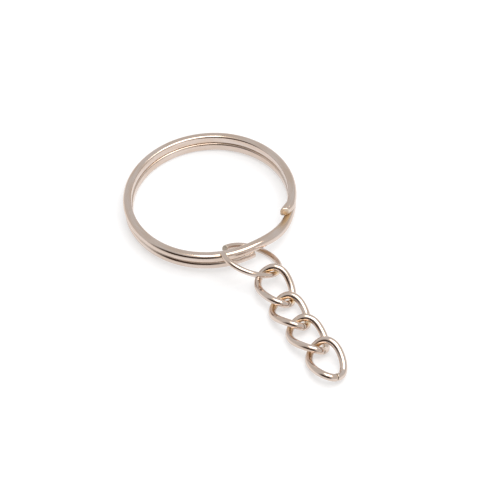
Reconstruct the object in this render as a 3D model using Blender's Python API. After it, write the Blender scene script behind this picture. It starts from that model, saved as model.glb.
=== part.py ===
"""Split key ring with an open jump ring and four twisted curb links, lying on a table.

Frame: +Z up, the table is z = 0, the chain runs towards -Y and the origin is the middle of
the foot of the whole object's bounding box. Sizes below are millimetres and degrees; the
meshes are written in metres.
"""
import math

import bmesh
import bpy
from mathutils import Euler, Matrix, Vector

MM = 0.001

# Split ring: one steel wire wound twice, 30 mm outside
RING_RADIUS = 14.24            # centre line of the upper coil
RING_LOWER_INSET = 0.13        # the lower coil is this much tighter
RING_WIRE_WIDTH = 1.50         # measured outward from the middle of the ring
RING_WIRE_HEIGHT = 1.62        # measured along the ring's own axis
RING_COIL_PITCH = 1.67         # centre to centre of the two coils
RING_WIRE_SQUARENESS = 2.3     # of the outer half: 2 is an ellipse, larger is squarer
RING_INNER_SQUARENESS = 4.5    # of the inner half, which is rolled flatter
RING_UPPER_END = -50.4         # where the upper coil starts
RING_STEP_FROM = -92.0         # the wire steps down from the upper to the lower coil ...
RING_STEP_TO = -47.5           # ... between these two angles
RING_STEP_FLARE = 0.30         # pressing the step widens the outer half by up to this share
RING_LOWER_END = -89.5         # where the lower coil stops
RING_LEAN = 2.35               # one side is propped up by the jump ring
RING_LEAN_HEADING = -80.0      # compass angle of the raised side
RING_TIP_LENGTH = 9.0          # degrees of arc over which the upper end turns inward
RING_TIP_INSET = 0.55          # how far the upper end turns inward
RING_TIP_SLANT = 32.0          # its end face is cut at this slant ...
RING_TIP_REACH = 1.1           # ... which fades out over this length of wire

# Jump ring: an open, slightly oval ring of round wire
JUMP_WIRE = 1.00
JUMP_HALF_LENGTH = 5.15        # centre line half axes
JUMP_HALF_WIDTH = 4.45
JUMP_RISE = 1.20               # how far one end stands above the other
JUMP_FIRST_END = 212.6         # angle of the inner end in the ring's own frame
JUMP_OPENING = 46.0            # missing arc
JUMP_END_SLANT = 26.0          # the inner end is cut at this slant, facing up ...
JUMP_END_REACH = 0.5           # ... which fades out over this length of wire
JUMP_CENTRE = (-1.48, -15.64)
JUMP_TURN = (-16.6, 17.6, -36.4)

# Curb links: oval wire loops twisted about their long axis, butt seam at the lower end
LINK_WIRE = 1.25
LINK_LENGTH = 7.27             # centre line, end bend to end bend
LINK_WIDTH = 5.12              # centre line, side to side
LINK_SQUARENESS = 2.36
LINK_TWIST = 32.9              # each end bend is turned by this much, in opposite senses
LINK_TAPER = 0.11              # the seam end is this much narrower, the other end wider
LINK_SEAM_GAP = 0.10
LINK_PROUD_END = 0.16          # one end of the last link's wire stands proud at its seam ...
LINK_PROUD_ARC = 0.6           # ... over this first part of its turn, in radians
LINKS = (
    # name, centre x, centre y, turn about X, Y and Z
    ("curb_link_1", -0.67, -22.58, -0.5, 11.3, -90.5),
    ("curb_link_2", -1.46, -28.24, -5.3, -4.5, -91.0),
    ("curb_link_3", -1.59, -33.95, -4.9, 1.6, -85.6),
    ("curb_link_4", -1.84, -39.69, 7.4, 3.4, -97.4),
)

# Point of the finished frame that each hanging piece swings about
SWING_POINTS = {
    "jump_ring": (0.13, 0.34, 2.98),
    "curb_link_1": (0.26, -5.92, 1.81),
    "curb_link_2": (-1.00, -10.47, 1.26),
    "curb_link_3": (0.24, -16.73, 1.89),
    "curb_link_4": (-1.78, -21.82, 1.46),
}

# Mesh fineness
RING_STEPS = 150
RING_SIDES = 12
LINK_STEPS = 48
LINK_SIDES = 12


def clear_scene():
    for thing in list(bpy.data.objects):
        bpy.data.objects.remove(thing, do_unlink=True)


def smooth_step(value):
    value = min(max(value, 0.0), 1.0)
    return value * value * (3.0 - 2.0 * value)


def superellipse(angle, half_a, half_b, power):
    """Point of a superellipse in the direction of angle."""
    across = abs(math.cos(angle) / half_a) ** power
    along = abs(math.sin(angle) / half_b) ** power
    reach = (across + along) ** (-1.0 / power)
    return reach * math.cos(angle), reach * math.sin(angle)


def even_steps(points, count):
    """The same polyline walked in count equal steps."""
    travelled = [0.0]
    for before, after in zip(points, points[1:]):
        travelled.append(travelled[-1] + (after - before).length)
    result = []
    segment = 0
    for step in range(count + 1):
        target = travelled[-1] * step / count
        while segment < len(points) - 2 and travelled[segment + 1] < target:
            segment += 1
        span = travelled[segment + 1] - travelled[segment]
        share = (target - travelled[segment]) / span
        result.append(points[segment].lerp(points[segment + 1], share))
    return result


def tangents(path):
    last = len(path) - 1
    return [(path[min(i + 1, last)] - path[max(i - 1, 0)]).normalized() for i in range(last + 1)]


def step_down(angle):
    """0 on the upper coil, 1 on the lower one, in between where the wire changes level."""
    step_from = RING_STEP_FROM + 360.0
    step_to = RING_STEP_TO + 360.0
    return smooth_step((angle - step_from) / (step_to - step_from))


def ring_path_point(angle):
    """Centre line of the split ring; angle runs from the upper end through two turns."""
    start = RING_UPPER_END
    down = step_down(angle)
    radius = RING_RADIUS - RING_LOWER_INSET * down
    radius -= RING_TIP_INSET * (1.0 - smooth_step((angle - start) / RING_TIP_LENGTH))
    height = RING_COIL_PITCH * (0.5 - down)
    turn = math.radians(angle)
    return Vector((radius * math.cos(turn), radius * math.sin(turn), height))


def ring_section(angle, down):
    """Point of the wire's section: rounded outside, flatter inside, flared where it steps."""
    outside = math.cos(angle) > 0.0
    power = RING_WIRE_SQUARENESS if outside else RING_INNER_SQUARENESS
    out, up = superellipse(angle, RING_WIRE_WIDTH / 2.0, RING_WIRE_HEIGHT / 2.0, power)
    if outside:
        out *= 1.0 + RING_STEP_FLARE * 4.0 * down * (1.0 - down)
    return out, up


def slanted(sections, path, toward, slant, reach):
    """The sections with the first end cut at a slant: the wire is shorter on one side."""
    into = (path[1] - path[0]).normalized()
    slope = math.tan(math.radians(slant))
    result = []
    for centre, loop in zip(path, sections):
        fade = max(1.0 - (centre - path[0]).length / reach, 0.0)
        result.append([point + into * (slope * fade * (point - centre).dot(toward))
                       for point in loop])
    return result


def ring_wire():
    """Sections of the split ring's wire, each a loop of points, in its own flat frame."""
    first = RING_UPPER_END
    last = RING_LOWER_END + 720.0
    angles = [first + (last - first) * i / RING_STEPS for i in range(RING_STEPS + 1)]
    path = [ring_path_point(angle) for angle in angles]
    sections = []
    for i, (centre, along) in enumerate(zip(path, tangents(path))):
        outward = Vector((centre.x, centre.y, 0.0)).normalized()
        outward = (outward - along * outward.dot(along)).normalized()
        upward = outward.cross(along).normalized()
        if upward.z < 0.0:
            upward.negate()
        loop = []
        for side in range(RING_SIDES):
            angle = 2.0 * math.pi * side / RING_SIDES
            out, up = ring_section(angle, step_down(angles[i]))
            loop.append(centre + outward * out + upward * up)
        sections.append(loop)
    outward = Vector((path[0].x, path[0].y, 0.0)).normalized()
    return slanted(sections, path, outward, RING_TIP_SLANT, RING_TIP_REACH)


def round_wire(path, diameter, sides):
    """Sections of a round wire along a path, carried along without twisting."""
    sections = []
    normal = None
    for centre, along in zip(path, tangents(path)):
        if normal is None:
            normal = along.orthogonal()
        normal = (normal - along * normal.dot(along)).normalized()
        second = along.cross(normal)
        loop = []
        for side in range(sides):
            angle = 2.0 * math.pi * side / sides
            offset = normal * math.cos(angle) + second * math.sin(angle)
            loop.append(centre + offset * (diameter / 2.0))
        sections.append(loop)
    return sections


def jump_path():
    """Centre line of the jump ring from its inner end to its outer end."""
    path = []
    sweep = 360.0 - JUMP_OPENING
    for i in range(LINK_STEPS * 4 + 1):
        share = i / (LINK_STEPS * 4)
        angle = math.radians(JUMP_FIRST_END + sweep * share)
        rise = JUMP_RISE * (share - 0.5)
        path.append(Vector((JUMP_HALF_LENGTH * math.cos(angle),
                            -JUMP_HALF_WIDTH * math.sin(angle), rise)))
    return even_steps(path, LINK_STEPS)


def jump_wire():
    """Sections of the jump ring's wire in its own frame."""
    path = jump_path()
    sections = round_wire(path, JUMP_WIRE, LINK_SIDES)
    return slanted(sections, path, Vector((0.0, 0.0, 1.0)), JUMP_END_SLANT, JUMP_END_REACH)


def link_path(proud):
    """Centre line of a curb link from one side of its seam right round to the other.

    The first end stands proud of the other by the length given.
    """
    half = LINK_LENGTH / 2.0
    seam = LINK_SEAM_GAP / LINK_WIDTH
    path = []
    for i in range(LINK_STEPS * 8 + 1):
        angle = seam + (2.0 * math.pi - 2.0 * seam) * i / (LINK_STEPS * 8)
        along, across = superellipse(angle, half, LINK_WIDTH / 2.0, LINK_SQUARENESS)
        across *= 1.0 - LINK_TAPER * along / half
        twist = math.radians(-LINK_TWIST * along / half)
        lift = proud * (1.0 - smooth_step(angle / LINK_PROUD_ARC))
        path.append(Vector((along, across * math.cos(twist), across * math.sin(twist) + lift)))
    return even_steps(path, LINK_STEPS)


def turned(sections, turn_xyz):
    turn = Euler([math.radians(value) for value in turn_xyz], "XYZ").to_matrix()
    return [[turn @ point for point in loop] for loop in sections]


def moved(sections, offset):
    return [[point + offset for point in loop] for loop in sections]


def lowest(sections):
    return min(point.z for loop in sections for point in loop)


def leaned_ring(sections):
    """The split ring lifted on one side."""
    raised = math.radians(RING_LEAN_HEADING)
    hinge = Vector((-math.sin(raised), math.cos(raised), 0.0))
    lean = Matrix.Rotation(-math.radians(RING_LEAN), 3, hinge)
    return [[lean @ point for point in loop] for loop in sections]


def on_table(sections, centre_xy):
    return moved(sections, Vector((centre_xy[0], centre_xy[1], -lowest(sections))))


def assemble():
    """Every piece's wire sections, in millimetres, resting on the table."""
    pieces = {}
    ring = leaned_ring(ring_wire())
    pieces["split_ring"] = on_table(ring, (0.0, 0.0))
    pieces["jump_ring"] = on_table(turned(jump_wire(), JUMP_TURN), JUMP_CENTRE)
    for name, x, y, *turn_xyz in LINKS:
        proud = LINK_PROUD_END if name == LINKS[-1][0] else 0.0
        link = turned(round_wire(link_path(proud), LINK_WIRE, LINK_SIDES), turn_xyz)
        pieces[name] = on_table(link, (x, y))
    return pieces


def foot_centre(pieces):
    points = [point for sections in pieces.values() for loop in sections for point in loop]
    low = [min(point[axis] for point in points) for axis in range(3)]
    high = [max(point[axis] for point in points) for axis in range(3)]
    return Vector(((low[0] + high[0]) / 2.0, (low[1] + high[1]) / 2.0, low[2]))


def nickel(name, tint):
    material = bpy.data.materials.new(name + "_nickel")
    material.use_nodes = True
    shader = material.node_tree.nodes["Principled BSDF"]
    shader.inputs["Base Color"].default_value = (*tint, 1.0)
    shader.inputs["Metallic"].default_value = 1.0
    shader.inputs["Roughness"].default_value = 0.15
    return material


def wire_object(name, sections, origin, tint):
    """A closed wire body from its sections, with flat caps and its origin at a point."""
    mesh = bpy.data.meshes.new(name)
    body = bmesh.new()
    rows = [[body.verts.new((point - origin) * MM) for point in loop] for loop in sections]
    for row, following in zip(rows, rows[1:]):
        for side in range(len(row)):
            onward = (side + 1) % len(row)
            face = body.faces.new((row[side], row[onward], following[onward], following[side]))
            face.smooth = True
    body.faces.new(list(reversed(rows[0])))
    body.faces.new(rows[-1])
    bmesh.ops.recalc_face_normals(body, faces=body.faces)
    body.to_mesh(mesh)
    body.free()
    mesh.materials.append(nickel(name, tint))
    thing = bpy.data.objects.new(name, mesh)
    thing.location = origin * MM
    bpy.context.scene.collection.objects.link(thing)
    return thing


def build():
    clear_scene()
    pieces = assemble()
    shift = -foot_centre(pieces)
    for name, sections in pieces.items():
        origin = Vector(SWING_POINTS.get(name, (0.0, 0.0, 0.0)))
        wire_object(name, moved(sections, shift), origin, (0.78, 0.74, 0.70))


build()
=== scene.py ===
"""Looks of the split key ring: nickel-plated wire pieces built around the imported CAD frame.

The camera, the floor and the lights are set up for a small object lying on a white table.
Sizes of the pieces and the camera's place are in millimetres and degrees, as in the CAD; the
floor and the lamps are in metres, Blender's own unit.
"""
import math

import bmesh
import bpy
from mathutils import Euler, Matrix, Vector, kdtree

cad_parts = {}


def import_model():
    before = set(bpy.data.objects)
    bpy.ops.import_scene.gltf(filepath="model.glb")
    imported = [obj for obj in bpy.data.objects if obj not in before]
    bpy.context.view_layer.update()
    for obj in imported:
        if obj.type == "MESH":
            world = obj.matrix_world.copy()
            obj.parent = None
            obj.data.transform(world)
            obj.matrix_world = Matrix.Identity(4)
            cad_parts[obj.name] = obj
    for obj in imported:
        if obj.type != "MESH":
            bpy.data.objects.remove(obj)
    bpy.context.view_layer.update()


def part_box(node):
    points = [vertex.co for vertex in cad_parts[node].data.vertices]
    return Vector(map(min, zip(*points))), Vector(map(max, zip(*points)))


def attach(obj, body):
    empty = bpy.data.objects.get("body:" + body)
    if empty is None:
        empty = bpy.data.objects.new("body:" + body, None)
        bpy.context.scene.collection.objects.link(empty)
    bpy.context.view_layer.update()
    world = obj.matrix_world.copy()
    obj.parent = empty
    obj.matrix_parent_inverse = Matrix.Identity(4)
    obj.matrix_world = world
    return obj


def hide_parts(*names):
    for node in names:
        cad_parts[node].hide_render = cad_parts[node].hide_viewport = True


MM = 0.001
FULL_TURN = 360.0
WHITE = (1.0, 1.0, 1.0)

# Split ring: one steel wire wound twice, 30 mm outside
RING_RADIUS = 14.24
RING_LOWER_INSET = 0.13
RING_WIRE_WIDTH = 1.50
RING_WIRE_HEIGHT = 1.62
RING_COIL_PITCH = 1.67
RING_WIRE_SQUARENESS = 2.3
RING_INNER_SQUARENESS = 4.5
RING_STEP_FLARE = 0.30
RING_UPPER_END = -50.4
RING_STEP_FROM = -92.0
RING_STEP_TO = -47.5
RING_LOWER_END = -89.5
RING_LEAN = 2.35
RING_LEAN_HEADING = -80.0
RING_TIP_LENGTH = 9.0          # degrees of the ring over which the upper end turns inwards
RING_TIP_INSET = 0.55
RING_TIP_SLANT = 32.0
RING_TIP_REACH = 1.1           # mm of wire over which the slant fades out

# Jump ring: an open, slightly oval ring of round wire
JUMP_WIRE = 1.00
JUMP_HALF_LENGTH = 5.15
JUMP_HALF_WIDTH = 4.45
JUMP_RISE = 1.20
JUMP_FIRST_END = 212.6
JUMP_OPENING = 46.0
JUMP_END_SLANT = 26.0
JUMP_END_REACH = 0.5           # mm of wire over which the slant fades out
JUMP_TURN = (-16.6, 17.6, -36.4)

# Curb links: oval wire loops twisted about their long axis, butt seam at the lower end
LINK_WIRE = 1.25
LINK_LENGTH = 7.27
LINK_WIDTH = 5.12
LINK_SQUARENESS = 2.36
LINK_TWIST = 32.9
LINK_TAPER = 0.11
LINK_SEAM_GAP = 0.10
LINK_PROUD_END = 0.16          # last link only: one side of its seam stands this much higher
LINK_PROUD_ARC = 0.6           # radians of the loop over which that side comes back down
LINK_TURNS = {
    "curb_link_1": (-0.5, 11.3, -90.5),
    "curb_link_2": (-5.3, -4.5, -91.0),
    "curb_link_3": (-4.9, 1.6, -85.6),
    "curb_link_4": (7.4, 3.4, -97.4),
}

# Mesh fineness
RING_STEPS = 640
RING_SIDES = 32
LINK_STEPS = 220
LINK_SIDES = 28
JUMP_PATH_FINENESS = 4         # points worked out for each even step along the centre line
LINK_PATH_FINENESS = 8

# Wire ends: loops that round over the edge, as share of the section and mm back from the cut,
# and the number of plain sections that they take the place of
RIM_LOOPS = ((0.985, 0.05), (0.95, 0.015), (0.86, 0.0))
RING_SECTIONS_OFF = 1
LOOP_SECTIONS_OFF = 2
PLAIN_SECTION = 9              # a section clear of both ends, for the length around the wire

# Material slots of every piece
PLATE_SLOT = 0
CUT_SLOT = 1

# Groove between the coils, painted shade in a warm brown that stands in for the dim reflections
# between them: it starts at one sine of the angle towards the other coil and is full that much
# further on
GROOVE_FROM = 0.80
GROOVE_WIDTH = 0.18
GROOVE_END_FADE = 30           # ring steps over which the painted shade fades out at the lower coil's end

# Brass where two wires rub, partly worn plate and partly a painted warm glint between the
# touching wires: full within the first distance, gone that much further off
RUB_CLOSE = 0.10
RUB_FADE = 0.80

# Nickel plate: its tint, and the tones of its patches and draw lines as shares of the tint
NICKEL_TINT = (0.670, 0.566, 0.505)
WARM_TONE = (0.98, 0.93, 0.87)
PALE_TONE = (1.04, 1.06, 1.08)
LINE_TONE = (0.82, 0.75, 0.66)
# painted shade, warm brown for the reflections between the coils
GROOVE_PAINTED_SHADE = (0.60, 0.41, 0.22)
# partly worn plate, partly a painted warm glint where wires touch
RUBBED_BRASS_AND_GLINT = (0.80, 0.61, 0.35)

# Patterns of the plate: packing along, around and off the wire, then noise scale and detail
CLOUD_PATTERN = ((0.2, 1.3, 1.0), 1.0, 3.0)
LINE_PATTERN = ((0.25, 9.0, 1.0), 1.6, 5.0)
SPECK_PATTERN = ((5.0, 5.0, 1.0), 1.0, 4.0)
PATTERN_SHIFT = (3.7, 1.3)     # along and around the wire, from each piece to the next

# What the patterns do: noise values from and to, and the result at each of the two
CLOUD_TO_TONE = (0.36, 0.64, 0.0, 1.0)
LINE_TO_TONE = (0.50, 0.72, 0.0, 0.38)
RUB_AND_GLINT_TO_TONE = (0.0, 1.0, 0.0, 0.60)
CLOUD_TO_ROUGHNESS = (0.3, 0.7, 0.065, 0.125)
LINE_TO_ROUGHNESS = (0.45, 0.75, 0.0, 0.08)
SPECK_TO_ROUGHNESS = (0.60, 0.75, 0.0, 0.16)
GROOVE_TO_ROUGHNESS = (0.0, 1.0, 0.0, 0.38)
LINE_BUMP = (0.16, 0.00002)    # strength, and depth in metres
SPECK_BUMP = (0.18, 0.00002)
CLOUD_BUMP = (0.20, 0.00006)

# Sheared wire ends: packing in space, then noise scale and detail
CUT_DARK = (0.58, 0.50, 0.41)
CUT_BRIGHT = (0.80, 0.72, 0.62)
CUT_BLOT_PATTERN = ((2400.0, 2400.0, 2400.0), 1.0, 2.0)
CUT_RIDGE_PACKING = (900.0, 2600.0, 5200.0)
CUT_RIDGE_GROWTH = 0.1         # added to the ridges' scale from each piece to the next
CUT_RIDGE_DETAIL = 4.0
BLOT_TO_TONE = (0.35, 0.65, 0.0, 1.0)
RIDGE_TO_ROUGHNESS = (0.3, 0.7, 0.32, 0.50)
RIDGE_BUMP = (0.5, 0.00004)

# Camera
CAMERA_PLACE = (-117.70, -199.28, 277.95)
CAMERA_HEADING = 30.0          # degrees from +Y towards +X
CAMERA_TILT = 49.626           # degrees below the horizon
CAMERA_ROLL = 2.1
CAMERA_LENS = 159.81
CAMERA_SENSOR = 36.0

# Floor, glowing a little so that it comes out as white as a lit table
FLOOR_HALF = 2.0
FLOOR_COLOUR = (0.60, 0.60, 0.605)
FLOOR_ROUGHNESS = 0.12
FLOOR_GLOW = 0.47

# Lamps: place to the right, away and up as the camera sees it; light relative to a white of 1
SOFTBOX_PLACE = (0.235, -0.06, 1.15)
SOFTBOX_SIZE = (0.94, 0.84)
SOFTBOX_LIGHT = 2.8
WARM_EDGE_PLACE = (0.235, -0.06, 1.16)
WARM_EDGE_SIZE = (1.22, 0.88)
WARM_EDGE_LIGHT = 0.60
WARM_EDGE_COLOUR = (1.0, 0.72, 0.36)

# White room with one dark side, and the plain backdrop that the camera sees instead of it
ROOM_LIGHT = 0.73
BACKDROP_COLOUR = (0.95, 0.95, 0.95)
DARK_SIDE_LIGHT = 0.05
DARK_SIDE_COLOUR = (1.0, 0.56, 0.30)
DARK_SIDE_HEADING = -149.0     # of its middle, in degrees from +X towards +Y
DARK_SIDE_HALF_ANGLE = 38.0
DARK_SIDE_SIDE_BLUR = 0.3      # radians each way
DARK_SIDE_LOW_EDGE = (-1.0, 3.0)     # elevations where it starts and where it is fully dark
DARK_SIDE_HIGH_EDGE = (56.0, 39.0)   # the same for its upper edge


def smooth_step(value):
    """0 up to 0 and 1 from 1 on, with a smooth change in between."""
    value = min(max(value, 0.0), 1.0)
    return value * value * (3.0 - 2.0 * value)


def superellipse(angle, half_a, half_b, power):
    """Point of a superellipse in the direction of angle."""
    across = abs(math.cos(angle) / half_a) ** power
    along = abs(math.sin(angle) / half_b) ** power
    reach = (across + along) ** (-1.0 / power)
    return reach * math.cos(angle), reach * math.sin(angle)


def middle_of(loop):
    return sum(loop, Vector()) / len(loop)


def lengths_along(points):
    """The distance travelled along a polyline at each of its points."""
    lengths = [0.0]
    for before, after in zip(points, points[1:]):
        lengths.append(lengths[-1] + (after - before).length)
    return lengths


def even_steps(points, count):
    """The same polyline walked in count equal steps."""
    travelled = lengths_along(points)
    result = []
    segment = 0
    for step in range(count + 1):
        target = travelled[-1] * step / count
        while segment < len(points) - 2 and travelled[segment + 1] < target:
            segment += 1
        span = travelled[segment + 1] - travelled[segment]
        share = (target - travelled[segment]) / span
        result.append(points[segment].lerp(points[segment + 1], share))
    return result


def tangents(path):
    last = len(path) - 1
    return [(path[min(i + 1, last)] - path[max(i - 1, 0)]).normalized() for i in range(last + 1)]


def ring_angle(step):
    """Angle on the split ring after that many steps along its wire, from the upper end."""
    last = RING_LOWER_END + 2.0 * FULL_TURN
    return RING_UPPER_END + (last - RING_UPPER_END) * step / RING_STEPS


def step_down(angle):
    """0 on the upper coil, 1 on the lower one, in between where the wire changes level."""
    step_from = RING_STEP_FROM + FULL_TURN
    step_to = RING_STEP_TO + FULL_TURN
    return smooth_step((angle - step_from) / (step_to - step_from))


def ring_path_point(angle):
    """Centre line of the split ring, from its upper end to its lower one."""
    down = step_down(angle)
    radius = RING_RADIUS - RING_LOWER_INSET * down
    from_end = (angle - RING_UPPER_END) / RING_TIP_LENGTH
    radius -= RING_TIP_INSET * (1.0 - smooth_step(from_end))
    height = RING_COIL_PITCH * (0.5 - down)
    turn = math.radians(angle)
    return Vector((radius * math.cos(turn), radius * math.sin(turn), height))


def ring_section(angle, down):
    """Point of the wire's section: rounded outside, flatter inside, flared where it steps."""
    outside = math.cos(angle) > 0.0
    power = RING_WIRE_SQUARENESS if outside else RING_INNER_SQUARENESS
    out, up = superellipse(angle, RING_WIRE_WIDTH / 2.0, RING_WIRE_HEIGHT / 2.0, power)
    if outside:
        out *= 1.0 + RING_STEP_FLARE * 4.0 * down * (1.0 - down)
    return out, up


def slanted(sections, path, toward, slant, reach):
    """The sections with the first end cut at a slant: the wire is shorter on one side."""
    into = (path[1] - path[0]).normalized()
    slope = math.tan(math.radians(slant))
    result = []
    for centre, loop in zip(path, sections):
        fade = max(1.0 - (centre - path[0]).length / reach, 0.0)
        result.append([point + into * (slope * fade * (point - centre).dot(toward))
                       for point in loop])
    return result


def ring_wire():
    """Sections of the split ring's wire in its own flat frame."""
    angles = [ring_angle(step) for step in range(RING_STEPS + 1)]
    path = [ring_path_point(angle) for angle in angles]
    sections = []
    for ring_turn, centre, along in zip(angles, path, tangents(path)):
        outward = Vector((centre.x, centre.y, 0.0)).normalized()
        outward = (outward - along * outward.dot(along)).normalized()
        upward = outward.cross(along).normalized()
        if upward.z < 0.0:
            upward.negate()
        loop = []
        for side in range(RING_SIDES):
            angle = 2.0 * math.pi * side / RING_SIDES
            out, up = ring_section(angle, step_down(ring_turn))
            loop.append(centre + outward * out + upward * up)
        sections.append(loop)
    outward = Vector((path[0].x, path[0].y, 0.0)).normalized()
    return slanted(sections, path, outward, RING_TIP_SLANT, RING_TIP_REACH)


def round_wire(path, diameter, sides):
    """Sections of a round wire along a path, carried along without twisting."""
    sections = []
    normal = None
    for centre, along in zip(path, tangents(path)):
        if normal is None:
            normal = along.orthogonal()
        normal = (normal - along * normal.dot(along)).normalized()
        second = along.cross(normal)
        loop = []
        for side in range(sides):
            angle = 2.0 * math.pi * side / sides
            offset = normal * math.cos(angle) + second * math.sin(angle)
            loop.append(centre + offset * (diameter / 2.0))
        sections.append(loop)
    return sections


def jump_path():
    """Centre line of the jump ring from its inner end to its outer end."""
    path = []
    sweep = FULL_TURN - JUMP_OPENING
    count = LINK_STEPS * JUMP_PATH_FINENESS
    for i in range(count + 1):
        share = i / count
        angle = math.radians(JUMP_FIRST_END + sweep * share)
        rise = JUMP_RISE * (share - 0.5)
        path.append(Vector((JUMP_HALF_LENGTH * math.cos(angle),
                            -JUMP_HALF_WIDTH * math.sin(angle), rise)))
    return even_steps(path, LINK_STEPS)


def jump_wire():
    """Sections of the jump ring's wire in its own frame."""
    path = jump_path()
    sections = round_wire(path, JUMP_WIRE, LINK_SIDES)
    return slanted(sections, path, Vector((0.0, 0.0, 1.0)), JUMP_END_SLANT, JUMP_END_REACH)


def link_path(proud):
    """Centre line of a curb link from one side of its seam right round to the other.

    The first end stands proud of the other by the length given.
    """
    half = LINK_LENGTH / 2.0
    seam = LINK_SEAM_GAP / LINK_WIDTH
    path = []
    count = LINK_STEPS * LINK_PATH_FINENESS
    for i in range(count + 1):
        angle = seam + (2.0 * math.pi - 2.0 * seam) * i / count
        along, across = superellipse(angle, half, LINK_WIDTH / 2.0, LINK_SQUARENESS)
        across *= 1.0 - LINK_TAPER * along / half
        twist = math.radians(-LINK_TWIST * along / half)
        lift = proud * (1.0 - smooth_step(angle / LINK_PROUD_ARC))
        path.append(Vector((along, across * math.cos(twist), across * math.sin(twist) + lift)))
    return even_steps(path, LINK_STEPS)


def turned(sections, turn_xyz):
    """The sections turned about x, y and z."""
    turn = Euler([math.radians(value) for value in turn_xyz], "XYZ").to_matrix()
    return [[turn @ point for point in loop] for loop in sections]


def leaned_ring(sections):
    """The split ring lifted on one side."""
    raised = math.radians(RING_LEAN_HEADING)
    hinge = Vector((-math.sin(raised), math.cos(raised), 0.0))
    lean = Matrix.Rotation(-math.radians(RING_LEAN), 3, hinge)
    return [[lean @ point for point in loop] for loop in sections]


def in_place(sections, node):
    """The sections moved onto the CAD node: same foot, same middle in plan."""
    low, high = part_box(node)
    points = [point for loop in sections for point in loop]
    foot = min(point.z for point in points)
    middle = [(min(p[axis] for p in points) + max(p[axis] for p in points)) / 2.0
              for axis in range(2)]
    offset = Vector(((low.x + high.x) / 2.0 / MM - middle[0],
                     (low.y + high.y) / 2.0 / MM - middle[1],
                     low.z / MM - foot))
    return [[point + offset for point in loop] for loop in sections]


def bent_wires():
    """Sections of every wire in place, by node, in the order in which the pieces hang."""
    wires = {"split_ring": in_place(leaned_ring(ring_wire()), "split_ring"),
             "jump_ring": in_place(turned(jump_wire(), JUMP_TURN), "jump_ring")}
    for name, turn in LINK_TURNS.items():
        proud = LINK_PROUD_END if name == "curb_link_4" else 0.0
        link = round_wire(link_path(proud), LINK_WIRE, LINK_SIDES)
        wires[name] = in_place(turned(link, turn), name)
    return wires


def rim(loop, inner):
    """Loops that round over the edge of an end, from the wire to the cut face."""
    middle = middle_of(loop)
    outward = (middle - middle_of(inner)).normalized()
    return [[middle + (point - middle) * shrink - outward * back for point in loop]
            for shrink, back in RIM_LOOPS]


def domed(sections, sections_off):
    """The sections with both ends rounded over, in place of the outermost sections."""
    front = rim(sections[0], sections[1])
    back = rim(sections[-1], sections[-2])
    return list(reversed(front)) + sections[sections_off:-sections_off] + back


def nearness(neighbours):
    """A function that gives 1 at a point that touches a neighbouring wire, 0 well away."""
    points = [point for sections in neighbours for loop in sections for point in loop]
    tree = kdtree.KDTree(len(points))
    for index, point in enumerate(points):
        tree.insert(point, index)
    tree.balance()

    def near(point):
        return 1.0 - smooth_step((tree.find(point)[2] - RUB_CLOSE) / RUB_FADE)

    return near


def ring_groove_shade(index, side):
    """Painted shade mask: 1 where the two coils meet, fading to 0 away from it; index counts the
    domed loops.
    """
    step = min(max(index - len(RIM_LOOPS) + RING_SECTIONS_OFF, 0), RING_STEPS)
    down = step_down(ring_angle(step))
    turn = 2.0 * math.pi * side / RING_SIDES
    facing = -math.sin(turn) if down < 0.5 else math.sin(turn)
    paired = abs(2.0 * down - 1.0)
    from_end = (RING_STEPS - step) / GROOVE_END_FADE
    return paired * smooth_step((facing - GROOVE_FROM) / GROOVE_WIDTH) * smooth_step(from_end)


def wire_body(sections, wear_and_glint_near, groove_shade):
    """Closed body through the sections; its map runs along and around the wire in mm."""
    body = bmesh.new()
    wire_map = body.loops.layers.uv.new("wire")
    shade = body.verts.layers.float.new("groove_shade")
    wear_and_glint = body.verts.layers.float.new("wear_and_glint")
    distances = lengths_along([middle_of(loop) for loop in sections])
    plain = sections[PLAIN_SECTION]
    around = sum((a - b).length for a, b in zip(plain, plain[1:] + plain[:1]))
    rows = []
    for index, loop in enumerate(sections):
        row = [body.verts.new(point * MM) for point in loop]
        for side, vert in enumerate(row):
            vert[shade] = groove_shade(index, side) if groove_shade else 0.0
            vert[wear_and_glint] = wear_and_glint_near(loop[side])
        rows.append(row)
    count = len(plain)
    cut_bands = len(RIM_LOOPS) - 1
    for index, (row, following) in enumerate(zip(rows, rows[1:])):
        on_cut = index < cut_bands or index >= len(rows) - 1 - cut_bands
        for side in range(count):
            onward = (side + 1) % count
            face = body.faces.new((row[side], row[onward], following[onward], following[side]))
            face.smooth = True
            face.material_index = CUT_SLOT if on_cut else PLATE_SLOT
            places = ((index, side), (index, side + 1), (index + 1, side + 1), (index + 1, side))
            for corner, (step, turn) in zip(face.loops, places):
                corner[wire_map].uv = (distances[step], around * turn / count)
    for row in (list(reversed(rows[0])), rows[-1]):
        body.faces.new(row).material_index = CUT_SLOT
    bmesh.ops.recalc_face_normals(body, faces=body.faces)
    return body


def wire_object(name, body, metal, cut):
    mesh = bpy.data.meshes.new(name)
    body.to_mesh(mesh)
    body.free()
    mesh.materials.append(metal)
    mesh.materials.append(cut)
    thing = bpy.data.objects.new(name, mesh)
    bpy.context.scene.collection.objects.link(thing)
    return thing


def noise(nodes, links, vector, packing, scale, detail):
    """Noise over the vector, packed closer along each axis where packing is larger."""
    packed = nodes.new("ShaderNodeMapping")
    packed.inputs["Scale"].default_value = packing
    links.new(vector, packed.inputs["Vector"])
    node = nodes.new("ShaderNodeTexNoise")
    node.inputs["Scale"].default_value = scale
    node.inputs["Detail"].default_value = detail
    links.new(packed.outputs["Vector"], node.inputs["Vector"])
    return node.outputs["Fac"]


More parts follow.
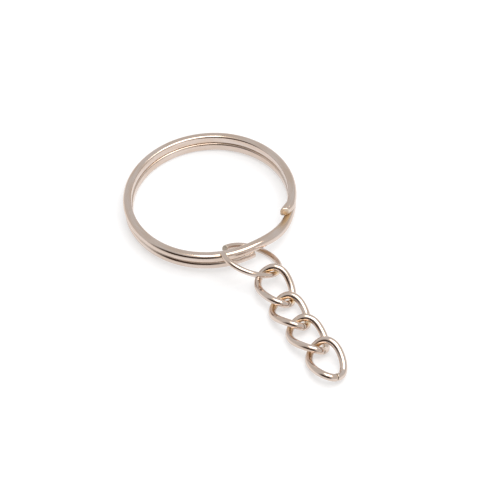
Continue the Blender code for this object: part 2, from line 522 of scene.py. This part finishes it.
def spread(nodes, links, source, low, high, to_low=0.0, to_high=1.0, easing="LINEAR"):
    """The source between low and high, spread over another range."""
    node = nodes.new("ShaderNodeMapRange")
    node.interpolation_type = easing
    links.new(source, node.inputs["Value"])
    node.inputs["From Min"].default_value = low
    node.inputs["From Max"].default_value = high
    node.inputs["To Min"].default_value = to_low
    node.inputs["To Max"].default_value = to_high
    return node.outputs["Result"]


def combine(nodes, links, operation, first, second):
    """Two numbers combined by a maths operation."""
    node = nodes.new("ShaderNodeMath")
    node.operation = operation
    links.new(first, node.inputs[0])
    links.new(second, node.inputs[1])
    return node.outputs[0]


def colour_mix(nodes, links, factor, first, second):
    """Mix of two colours; each is a socket or a plain colour."""
    node = nodes.new("ShaderNodeMix")
    node.data_type = "RGBA"
    links.new(factor, node.inputs["Factor"])
    for value, socket in ((first, node.inputs[6]), (second, node.inputs[7])):
        if isinstance(value, tuple):
            socket.default_value = (*value, 1.0)
        else:
            links.new(value, socket)
    return node.outputs[2]


def bump(nodes, links, height, strength, distance, under=None):
    """Normal bumped by the height, on top of the bumps in under."""
    node = nodes.new("ShaderNodeBump")
    node.inputs["Strength"].default_value = strength
    node.inputs["Distance"].default_value = distance
    links.new(height, node.inputs["Height"])
    if under is not None:
        links.new(under, node.inputs["Normal"])
    return node.outputs["Normal"]


def vertex_value(nodes, attribute):
    node = nodes.new("ShaderNodeAttribute")
    node.attribute_name = attribute
    return node.outputs["Fac"]


def toned(tone):
    """The plate's tint in one of its tones."""
    return tuple(part * share for part, share in zip(NICKEL_TINT, tone))


def new_metal(name):
    material = bpy.data.materials.new(name)
    material.use_nodes = True
    nodes = material.node_tree.nodes
    shader = nodes["Principled BSDF"]
    shader.inputs["Metallic"].default_value = 1.0
    return material, nodes, material.node_tree.links, shader


def nickel(name, seed):
    """Bright warm nickel plate: draw lines along the wire, small wear marks, painted shade with
    a warm painted reflection where the coils meet, and brass where wires rub, partly wear and
    partly a painted glint.
    """
    material, nodes, links, shader = new_metal(name)
    wire = nodes.new("ShaderNodeUVMap")
    wire.uv_map = "wire"
    place = nodes.new("ShaderNodeMapping")
    place.inputs["Location"].default_value = (*(seed * shift for shift in PATTERN_SHIFT), 0.0)
    links.new(wire.outputs["UV"], place.inputs["Vector"])
    cloud = noise(nodes, links, place.outputs["Vector"], *CLOUD_PATTERN)
    lines = noise(nodes, links, place.outputs["Vector"], *LINE_PATTERN)
    specks = noise(nodes, links, place.outputs["Vector"], *SPECK_PATTERN)
    groove_shade = vertex_value(nodes, "groove_shade")
    wear_and_glint = vertex_value(nodes, "wear_and_glint")

    patch = spread(nodes, links, cloud, *CLOUD_TO_TONE)
    base = colour_mix(nodes, links, patch, toned(WARM_TONE), toned(PALE_TONE))
    streak = spread(nodes, links, lines, *LINE_TO_TONE)
    base = colour_mix(nodes, links, streak, base, toned(LINE_TONE))
    # painted shade with a warm painted reflection where the coils meet
    base = colour_mix(nodes, links, groove_shade, base, GROOVE_PAINTED_SHADE)
    # brass where wires touch: partly wear, partly a painted glint
    brass_and_glint = spread(nodes, links, wear_and_glint, *RUB_AND_GLINT_TO_TONE)
    base = colour_mix(nodes, links, brass_and_glint, base, RUBBED_BRASS_AND_GLINT)
    links.new(base, shader.inputs["Base Color"])

    roughness = spread(nodes, links, cloud, *CLOUD_TO_ROUGHNESS)
    for source, response in ((lines, LINE_TO_ROUGHNESS), (specks, SPECK_TO_ROUGHNESS),
                             (groove_shade, GROOVE_TO_ROUGHNESS)):
        added = spread(nodes, links, source, *response)
        roughness = combine(nodes, links, "ADD", roughness, added)
    links.new(roughness, shader.inputs["Roughness"])

    drawn = bump(nodes, links, lines, *LINE_BUMP)
    pitted = bump(nodes, links, specks, *SPECK_BUMP, drawn)
    waved = bump(nodes, links, cloud, *CLOUD_BUMP, pitted)
    links.new(waved, shader.inputs["Normal"])
    return material


def cut_steel(name, seed):
    """Sheared wire end: duller, darker, with the shear's fine ridges."""
    material, nodes, links, shader = new_metal(name)
    place = nodes.new("ShaderNodeTexCoord").outputs["Object"]
    ridge_scale = 1.0 + CUT_RIDGE_GROWTH * seed
    ridges = noise(nodes, links, place, CUT_RIDGE_PACKING, ridge_scale, CUT_RIDGE_DETAIL)
    blot = noise(nodes, links, place, *CUT_BLOT_PATTERN)
    patch = spread(nodes, links, blot, *BLOT_TO_TONE)
    base = colour_mix(nodes, links, patch, CUT_DARK, CUT_BRIGHT)
    links.new(base, shader.inputs["Base Color"])
    roughness = spread(nodes, links, ridges, *RIDGE_TO_ROUGHNESS)
    links.new(roughness, shader.inputs["Roughness"])
    links.new(bump(nodes, links, ridges, *RIDGE_BUMP), shader.inputs["Normal"])
    return material


def show(piece, node):
    """The piece stands in for the CAD node, which is hidden, and moves with the node's body."""
    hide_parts(node)
    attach(piece, node)


def add_pieces(wires):
    """One object for each wire, tinted brass where it touches the wires before and after it,
    partly as wear and partly as a painted glint.
    """
    chain = list(wires)
    for place, name in enumerate(chain):
        is_ring = name == "split_ring"
        beside = [wires[other] for other in chain[max(place - 1, 0):place + 2] if other != name]
        sections = domed(wires[name], RING_SECTIONS_OFF if is_ring else LOOP_SECTIONS_OFF)
        body = wire_body(sections, nearness(beside), ring_groove_shade if is_ring else None)
        piece = wire_object(name + "_wire", body, nickel(name + "_nickel", place + 1),
                            cut_steel(name + "_cut", place + 1))
        show(piece, name)


def add_camera():
    """Camera from its place, heading, tilt and roll."""
    heading = math.radians(CAMERA_HEADING)
    tilt = math.radians(CAMERA_TILT)
    roll = math.radians(CAMERA_ROLL)
    forward = Vector((math.sin(heading) * math.cos(tilt), math.cos(heading) * math.cos(tilt),
                      -math.sin(tilt)))
    right = Vector((math.cos(heading), -math.sin(heading), 0.0))
    up = right.cross(forward)
    x_axis = right * math.cos(roll) - up * math.sin(roll)
    y_axis = right * math.sin(roll) + up * math.cos(roll)
    axes = Matrix((x_axis, y_axis, -forward)).transposed()
    data = bpy.data.cameras.new("camera")
    data.lens = CAMERA_LENS
    data.sensor_width = CAMERA_SENSOR
    data.clip_start = 0.01
    data.clip_end = 20.0
    camera = bpy.data.objects.new("camera", data)
    camera.matrix_world = Matrix.Translation(Vector(CAMERA_PLACE) * MM) @ axes.to_4x4()
    bpy.context.scene.collection.objects.link(camera)
    bpy.context.scene.camera = camera


def add_floor():
    """White, slightly glossy table top."""
    mesh = bpy.data.meshes.new("floor")
    half = FLOOR_HALF
    corners = [(-half, -half, 0.0), (half, -half, 0.0), (half, half, 0.0), (-half, half, 0.0)]
    mesh.from_pydata(corners, [], [(0, 1, 2, 3)])
    material = bpy.data.materials.new("floor")
    material.use_nodes = True
    shader = material.node_tree.nodes["Principled BSDF"]
    shader.inputs["Base Color"].default_value = (*FLOOR_COLOUR, 1.0)
    shader.inputs["Roughness"].default_value = FLOOR_ROUGHNESS
    shader.inputs["Emission Color"].default_value = (*WHITE, 1.0)
    shader.inputs["Emission Strength"].default_value = FLOOR_GLOW
    mesh.materials.append(material)
    floor = bpy.data.objects.new("floor", mesh)
    bpy.context.scene.collection.objects.link(floor)


def add_softbox(name, place, size, strength, colour):
    """Soft light aimed at the origin; its place is right, away and up as the camera sees it."""
    right, away, height = place
    heading = math.radians(CAMERA_HEADING)
    to_right = Vector((math.cos(heading), -math.sin(heading), 0.0))
    to_back = Vector((math.sin(heading), math.cos(heading), 0.0))
    spot = to_right * right + to_back * away + Vector((0.0, 0.0, height))
    backward = spot.normalized()
    across = (to_right - backward * to_right.dot(backward)).normalized()
    along = backward.cross(across)
    axes = Matrix((across, along, backward)).transposed()
    data = bpy.data.lights.new(name, "AREA")
    data.shape = "RECTANGLE"
    data.size, data.size_y = size
    data.energy = strength * math.pi * size[0] * size[1]
    data.color = colour
    lamp = bpy.data.objects.new(name, data)
    lamp.matrix_world = Matrix.Translation(spot) @ axes.to_4x4()
    bpy.context.scene.collection.objects.link(lamp)
    return lamp


def background(node, colour, strength):
    node.inputs["Color"].default_value = (*colour, 1.0)
    node.inputs["Strength"].default_value = strength
    return node.outputs["Background"]


def vector_maths(nodes, links, operation, first):
    """Vector operation on a linked vector; a second vector is set on the node's own socket."""
    node = nodes.new("ShaderNodeVectorMath")
    node.operation = operation
    links.new(first, node.inputs[0])
    return node


def dark_side(nodes, links):
    """1 in the directions of the room's dark side, 0 elsewhere, blurred at the edges."""
    direction = nodes.new("ShaderNodeTexCoord").outputs["Generated"]
    level = vector_maths(nodes, links, "MULTIPLY", direction)
    level.inputs[1].default_value = (1.0, 1.0, 0.0)
    flat = vector_maths(nodes, links, "NORMALIZE", level.outputs["Vector"])
    facing = vector_maths(nodes, links, "DOT_PRODUCT", flat.outputs["Vector"])
    heading = math.radians(DARK_SIDE_HEADING)
    facing.inputs[1].default_value = (math.cos(heading), math.sin(heading), 0.0)
    wide = math.radians(DARK_SIDE_HALF_ANGLE)
    side = spread(nodes, links, facing.outputs["Value"], math.cos(wide + DARK_SIDE_SIDE_BLUR),
                  math.cos(wide - DARK_SIDE_SIDE_BLUR), easing="SMOOTHSTEP")
    parts = nodes.new("ShaderNodeSeparateXYZ")
    links.new(direction, parts.inputs["Vector"])
    patch = side
    for edge in (DARK_SIDE_LOW_EDGE, DARK_SIDE_HIGH_EDGE):
        outside, inside = [math.sin(math.radians(elevation)) for elevation in edge]
        within = spread(nodes, links, parts.outputs["Z"], outside, inside, easing="SMOOTHSTEP")
        patch = combine(nodes, links, "MULTIPLY", patch, within)
    return patch


def add_world():
    """White room whose low front-left side is unlit, as behind a photographer."""
    world = bpy.data.worlds.new("studio")
    bpy.context.scene.world = world
    world.use_nodes = True
    nodes = world.node_tree.nodes
    links = world.node_tree.links
    lit = background(nodes["Background"], WHITE, ROOM_LIGHT)
    dark = background(nodes.new("ShaderNodeBackground"), DARK_SIDE_COLOUR, DARK_SIDE_LIGHT)
    room = nodes.new("ShaderNodeMixShader")
    links.new(dark_side(nodes, links), room.inputs["Fac"])
    links.new(lit, room.inputs[1])
    links.new(dark, room.inputs[2])
    backdrop = background(nodes.new("ShaderNodeBackground"), BACKDROP_COLOUR, 1.0)
    seen = nodes.new("ShaderNodeMixShader")
    links.new(nodes.new("ShaderNodeLightPath").outputs["Is Camera Ray"], seen.inputs["Fac"])
    links.new(room.outputs["Shader"], seen.inputs[1])
    links.new(backdrop, seen.inputs[2])
    links.new(seen.outputs["Shader"], nodes["World Output"].inputs["Surface"])


def add_lamps():
    """One softbox, and a faint warm light that shows round its edges in the metal."""
    add_softbox("softbox", SOFTBOX_PLACE, SOFTBOX_SIZE, SOFTBOX_LIGHT, WHITE)
    edge = add_softbox("warm_edge", WARM_EDGE_PLACE, WARM_EDGE_SIZE, WARM_EDGE_LIGHT,
                       WARM_EDGE_COLOUR)
    edge.visible_diffuse = False


def main():
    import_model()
    add_pieces(bent_wires())
    add_camera()
    add_floor()
    add_world()
    add_lamps()
    bpy.context.scene.view_settings.view_transform = "Standard"


main()
